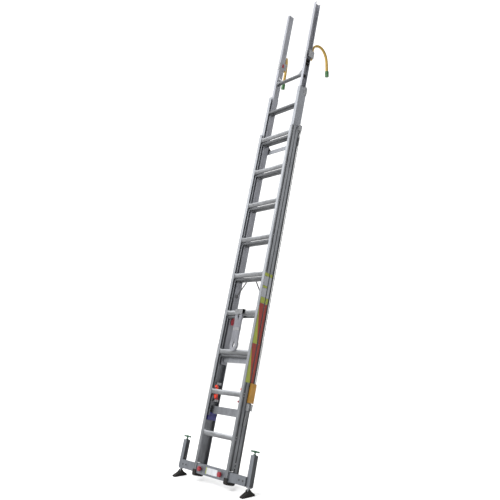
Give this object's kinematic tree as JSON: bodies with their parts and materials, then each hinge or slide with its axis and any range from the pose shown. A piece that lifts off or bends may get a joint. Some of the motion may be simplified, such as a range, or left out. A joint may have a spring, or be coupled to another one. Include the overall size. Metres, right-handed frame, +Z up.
{
  "type": "extension ladder",
  "caption": "Sliding sectional ladder, leaning as in use, with swivelling outrigger feet, swinging top hooks, rung latches and a hoist rope.",
  "frame": {"origin": "on the ground, below the centre of the whole leaning ladder", "axes": "+Z up, +X along the rungs, +Y from the climbing side towards the wall the ladder leans on"},
  "size_m": [0.924, 1.3044, 4.2968],
  "materials": {
    "anodised_rail": "satin extruded",
    "rung_aluminium": "satin ribbed",
    "cast_fittings": "cast, matt",
    "black_rubber": "matt",
    "red_plastic": "moulded",
    "latch_red": "moulded",
    "hook_yellow": "painted rod",
    "cover_amber": "moulded",
    "handle_green": "dark green paint",
    "rope_fibre": "woven"
  },
  "bodies": {
    "base": {"base_rail_left": "anodised_rail", "base_rail_right": "anodised_rail", "base_rung_1": "rung_aluminium", "base_rung_2": "rung_aluminium", "base_rung_3": "rung_aluminium", "base_rung_4": "rung_aluminium", "base_rung_5": "rung_aluminium", "base_rung_6": "rung_aluminium", "base_rung_7": "rung_aluminium", "base_rung_8": "rung_aluminium", "base_rung_9": "rung_aluminium", "rail_boot_left": "black_rubber", "rail_boot_right": "black_rubber", "outrigger_sleeve": "anodised_rail", "rear_bar": "anodised_rail", "pulley_bracket": "cast_fittings", "hoist_rope": "rope_fibre", "rope_cover": "cover_amber", "rope_cleat": "cast_fittings", "rope_hank": "rope_fibre"},
    "middle": {"middle_rail_left": "anodised_rail", "middle_rail_right": "anodised_rail", "middle_rung_1": "rung_aluminium", "middle_rung_2": "rung_aluminium", "middle_rung_3": "rung_aluminium", "middle_rung_4": "rung_aluminium", "middle_rung_5": "rung_aluminium", "middle_rung_6": "rung_aluminium", "middle_rung_7": "rung_aluminium", "middle_rung_8": "rung_aluminium", "middle_bottom_bar": "anodised_rail"},
    "top": {"top_rail_left": "anodised_rail", "top_rail_right": "anodised_rail", "top_rung_1": "rung_aluminium", "top_rung_2": "rung_aluminium", "top_rung_3": "rung_aluminium", "top_rung_4": "rung_aluminium", "top_rung_5": "rung_aluminium", "top_rung_6": "rung_aluminium", "top_rung_7": "rung_aluminium", "top_bottom_bar": "anodised_rail", "hook_bracket_left": "cast_fittings", "hook_bracket_right": "cast_fittings"},
    "pulley_wheel": {"pulley_wheel": "cast_fittings"},
    "arm_left": {"outrigger_arm_left": "anodised_rail"},
    "leg_left": {"leg_strut_left": "anodised_rail"},
    "foot_left": {"foot_left": "black_rubber"},
    "leg_handle_left": {"leg_handle_left": "handle_green"},
    "clamp_knob_left": {"clamp_knob_left": "red_plastic"},
    "hook_left": {"hook_left": "hook_yellow"},
    "middle_latch_left": {"middle_latch_left": "latch_red"},
    "top_latch_left": {"top_latch_left": "red_plastic"},
    "arm_right": {"outrigger_arm_right": "anodised_rail"},
    "leg_right": {"leg_strut_right": "anodised_rail"},
    "foot_right": {"foot_right": "black_rubber"},
    "leg_handle_right": {"leg_handle_right": "handle_green"},
    "clamp_knob_right": {"clamp_knob_right": "red_plastic"},
    "hook_right": {"hook_right": "hook_yellow"},
    "middle_latch_right": {"middle_latch_right": "latch_red"},
    "top_latch_right": {"top_latch_right": "red_plastic"}
  },
  "joints": [
    {"name": "middle_slide", "type": "slide", "parent": "base", "child": "middle", "axis": [0, 0.2438, 0.9698], "range_m": [0, 1.98]},
    {"name": "top_slide", "type": "slide", "parent": "middle", "child": "top", "axis": [0, 0.2438, 0.9698], "range_m": [0, 1.98]},
    {"name": "arm_left_slide", "type": "slide", "parent": "base", "child": "arm_left", "axis": [1, 0, 0], "range_m": [0, 0.095]},
    {"name": "leg_left_extend", "type": "slide", "parent": "arm_left", "child": "leg_left", "axis": [0, -0.2438, -0.9698], "range_m": [0, 0.12]},
    {"name": "foot_left_swivel", "type": "hinge", "parent": "leg_left", "child": "foot_left", "pos_m": [-0.42, -0.5812, 0.035], "axis": [1, 0, 0], "range_deg": [-15, 15]},
    {"name": "leg_handle_left_turn", "type": "hinge", "parent": "arm_left", "child": "leg_handle_left", "pos_m": [-0.42, -0.51364, 0.30375], "axis": [0, 0.2438, 0.9698], "range_deg": [0, 2165]},
    {"name": "clamp_knob_left_turn", "type": "hinge", "parent": "base", "child": "clamp_knob_left", "pos_m": [-0.125, -0.61358, 0.10718], "axis": [0, 0.9698, -0.2438], "range_deg": [0, 540]},
    {"name": "hook_left_swing", "type": "hinge", "parent": "top", "child": "hook_left", "pos_m": [-0.18, 0.42917, 3.75503], "axis": [0, 0.2438, 0.9698], "range_deg": [-135, 45]},
    {"name": "middle_latch_left_swing", "type": "hinge", "parent": "middle", "child": "middle_latch_left", "pos_m": [-0.16, -0.4232, 0.65943], "axis": [1, 0, 0], "range_deg": [0, 18]},
    {"name": "top_latch_left_swing", "type": "hinge", "parent": "top", "child": "top_latch_left", "pos_m": [-0.152, -0.25242, 1.25682], "axis": [1, 0, 0], "range_deg": [0, 18]},
    {"name": "arm_right_slide", "type": "slide", "parent": "base", "child": "arm_right", "axis": [-1, 0, 0], "range_m": [0, 0.095]},
    {"name": "leg_right_extend", "type": "slide", "parent": "arm_right", "child": "leg_right", "axis": [0, -0.2438, -0.9698], "range_m": [0, 0.12]},
    {"name": "foot_right_swivel", "type": "hinge", "parent": "leg_right", "child": "foot_right", "pos_m": [0.42, -0.5812, 0.035], "axis": [1, 0, 0], "range_deg": [-15, 15]},
    {"name": "leg_handle_right_turn", "type": "hinge", "parent": "arm_right", "child": "leg_handle_right", "pos_m": [0.42, -0.51364, 0.30375], "axis": [0, 0.2438, 0.9698], "range_deg": [0, 2165]},
    {"name": "clamp_knob_right_turn", "type": "hinge", "parent": "base", "child": "clamp_knob_right", "pos_m": [0.125, -0.61358, 0.10718], "axis": [0, 0.9698, -0.2438], "range_deg": [0, 540]},
    {"name": "hook_right_swing", "type": "hinge", "parent": "top", "child": "hook_right", "pos_m": [0.18, 0.42917, 3.75503], "axis": [0, 0.2438, 0.9698], "range_deg": [-90, 90]},
    {"name": "middle_latch_right_swing", "type": "hinge", "parent": "middle", "child": "middle_latch_right", "pos_m": [0.16, -0.4232, 0.65943], "axis": [1, 0, 0], "range_deg": [0, 18]},
    {"name": "top_latch_right_swing", "type": "hinge", "parent": "top", "child": "top_latch_right", "pos_m": [0.152, -0.25242, 1.25682], "axis": [1, 0, 0], "range_deg": [0, 18]},
    {"name": "pulley_spin", "type": "hinge", "parent": "base", "child": "pulley_wheel", "pos_m": [0.219, 0.21036, 2.96659], "axis": [1, 0, 0], "continuous": true}
  ],
  "couplings": [
    {"joint": "top_slide", "follows": "middle_slide", "ratio": 1},
    {"joint": "leg_handle_left_turn", "follows": "leg_left_extend", "rad_per_m": 314.16},
    {"joint": "leg_handle_right_turn", "follows": "leg_right_extend", "rad_per_m": 314.16}
  ]
}
